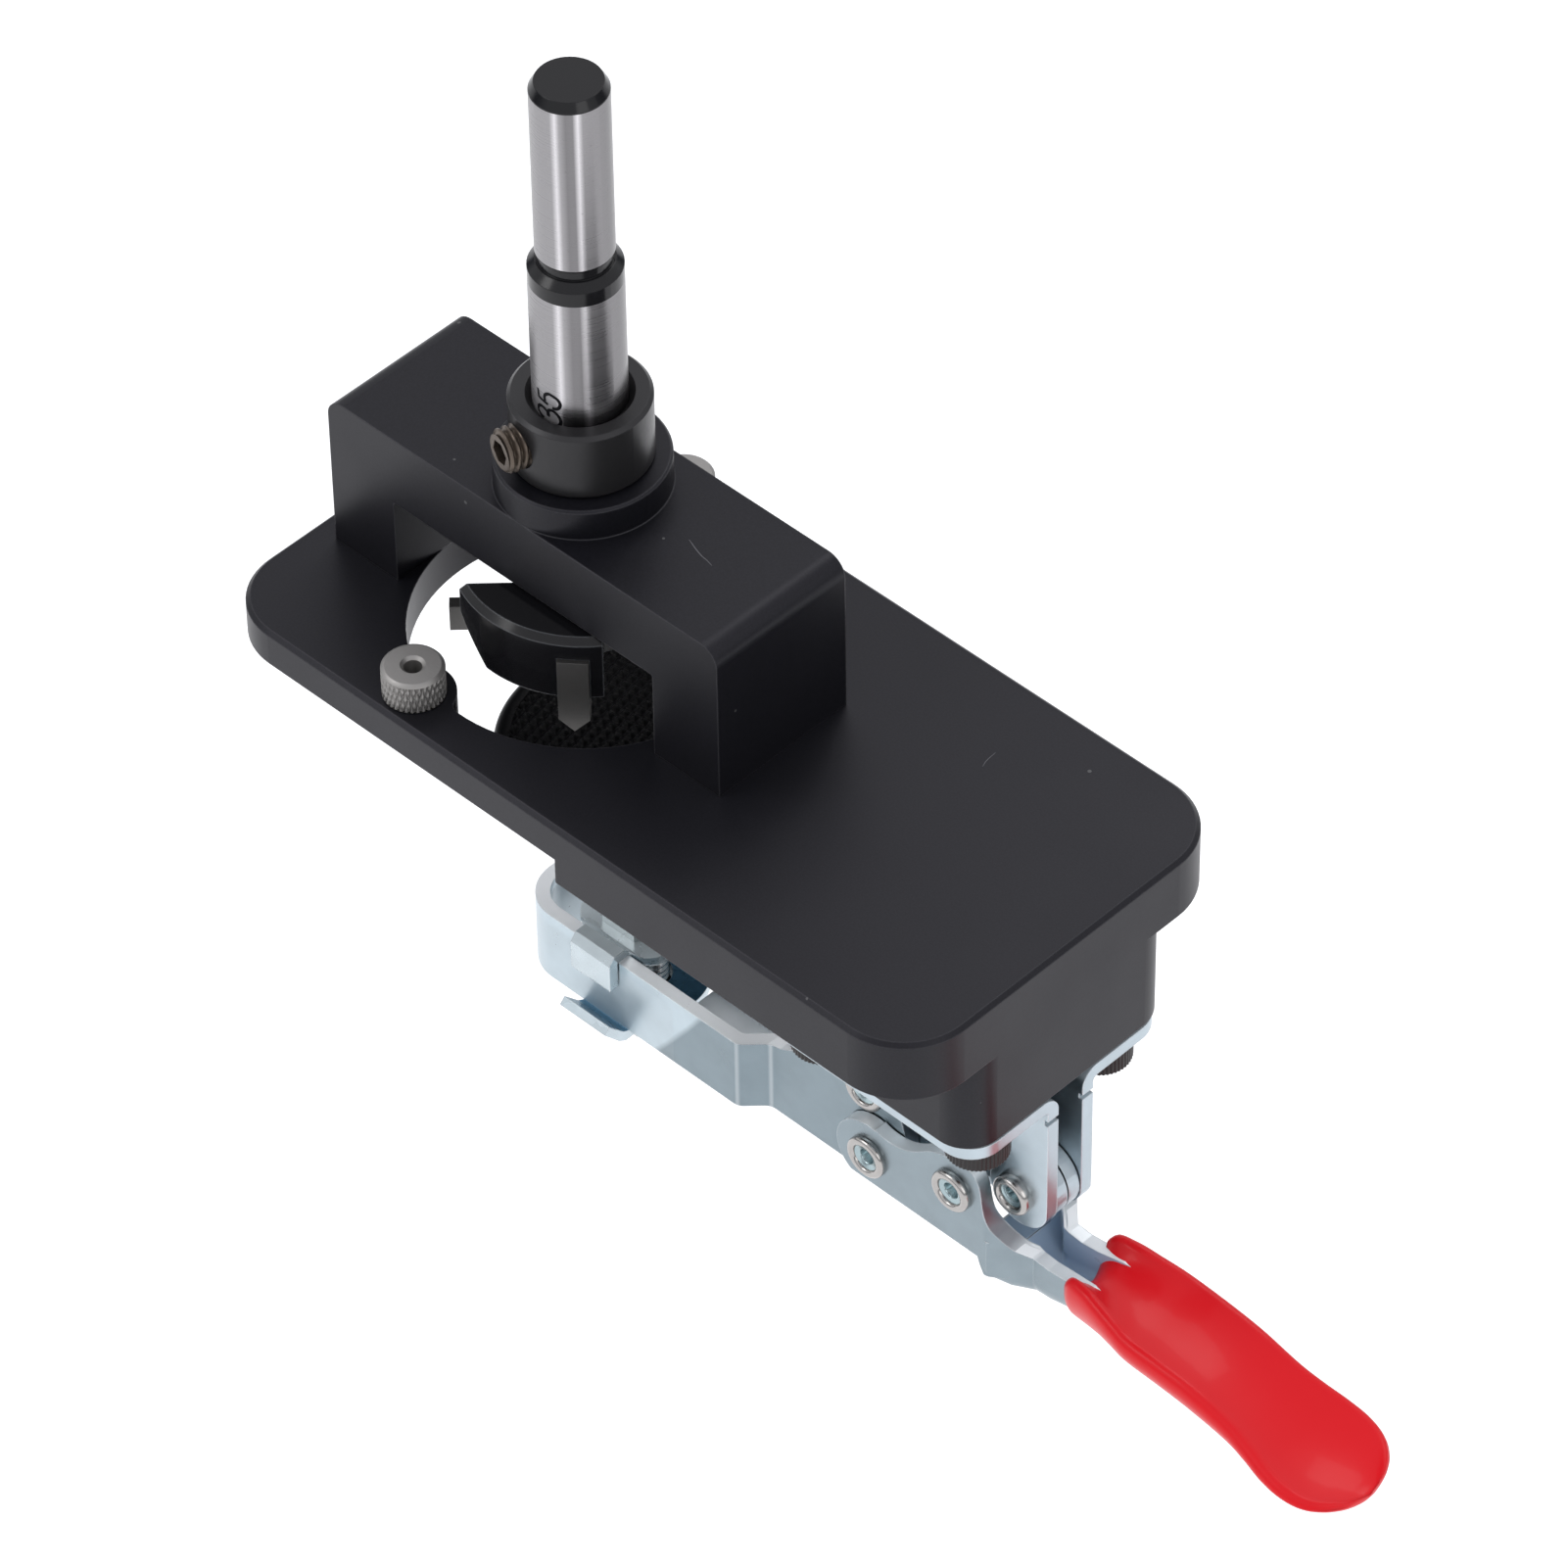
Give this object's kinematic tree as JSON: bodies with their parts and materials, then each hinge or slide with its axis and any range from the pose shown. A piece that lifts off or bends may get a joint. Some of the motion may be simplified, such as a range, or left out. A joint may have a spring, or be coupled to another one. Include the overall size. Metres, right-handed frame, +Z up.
{
  "type": "hinge drilling jig",
  "caption": "Hinge-cup drilling jig: stepped black plate, bridge-guided boring bit with stop collar, and a toggle clamp with a rubber pad and a red dipped handle.",
  "frame": {"origin": "where the drill axis crosses the top face of the plate", "axes": "+Z up along the drill axis toward the drive shank, +X along the plate from the drilling end to the clamp handle, +Y across the plate"},
  "size_m": [0.1718, 0.0586, 0.1553],
  "materials": {
    "body_black": "satin black anodised",
    "bridge_black": "satin black anodised",
    "screw_black": "black oxide",
    "bush_grey": "knurled, matt nickel",
    "collar_black": "black oxide",
    "set_screw_bronze": "tempered brown",
    "bit_steel": "ground steel with black oxide head",
    "carbide": "ground carbide",
    "zinc": "bright zinc plate",
    "rivet_steel": "bright",
    "grip_red": "dipped vinyl, glossy",
    "spindle_zinc": "zinc plate",
    "rubber_black": "matt"
  },
  "bodies": {
    "jig": {"jig_body": "body_black", "guide_bridge": "bridge_black", "bridge_screws": "screw_black", "knurled_bush_front": "bush_grey", "knurled_bush_rear": "bush_grey", "clamp_base_near": "zinc", "clamp_base_far": "zinc", "base_screws": "screw_black", "arm_pivot_rivet": "rivet_steel", "base_pivot_rivet": "rivet_steel"},
    "bit": {"boring_bit": "bit_steel", "nicker_tips": "carbide", "wing_tips": "carbide"},
    "collar": {"stop_collar": "collar_black"},
    "set_screw": {"collar_set_screw": "set_screw_bronze"},
    "arm": {"clamp_arm": "zinc", "handle_pivot_rivets": "rivet_steel"},
    "lever": {"handle": "zinc", "handle_grip": "grip_red", "link_pivot_rivets": "rivet_steel"},
    "link": {"link_near": "zinc", "link_far": "zinc"},
    "saddle": {"saddle_washer_upper": "zinc", "saddle_washer_lower": "zinc", "spindle_nut_upper": "spindle_zinc", "spindle_nut_lower": "spindle_zinc"},
    "spindle": {"pad_spindle": "spindle_zinc", "rubber_pad": "rubber_black"}
  },
  "joints": [
    {"name": "bit_plunge", "type": "slide", "parent": "jig", "child": "bit", "axis": [0, 0, -1], "range_m": [-0.0005, 0.011]},
    {"name": "collar_height", "type": "slide", "parent": "jig", "child": "collar", "axis": [0, 0, 1], "range_m": [0, 0.02]},
    {"name": "set_screw_turn", "type": "hinge", "parent": "collar", "child": "set_screw", "pos_m": [0, 0, 0.034], "axis": [-0.2756, -0.9613, 0], "range_deg": [0, 540]},
    {"name": "arm_swing", "type": "hinge", "parent": "jig", "child": "arm", "pos_m": [0.0539, 0, -0.042], "axis": [0, -1, 0], "range_deg": [0, 80]},
    {"name": "handle_swing", "type": "hinge", "parent": "arm", "child": "lever", "pos_m": [0.0562, 0, -0.051], "axis": [0, -1, 0], "range_deg": [-139, 0]},
    {"name": "link_swing", "type": "hinge", "parent": "jig", "child": "link", "pos_m": [0.0777, 0, -0.0451], "axis": [0, -1, 0], "range_deg": [0, 56]},
    {"name": "saddle_slide", "type": "slide", "parent": "arm", "child": "saddle", "axis": [1, 0, 0], "range_m": [-0.004, 0.006]},
    {"name": "spindle_height", "type": "slide", "parent": "saddle", "child": "spindle", "axis": [0, 0, 1], "range_m": [-0.012, 0.0044]}
  ],
  "couplings": [
    {"joint": "handle_swing", "follows": "arm_swing", "ratio": -1.7319},
    {"joint": "link_swing", "follows": "arm_swing", "ratio": 0.69425}
  ]
}
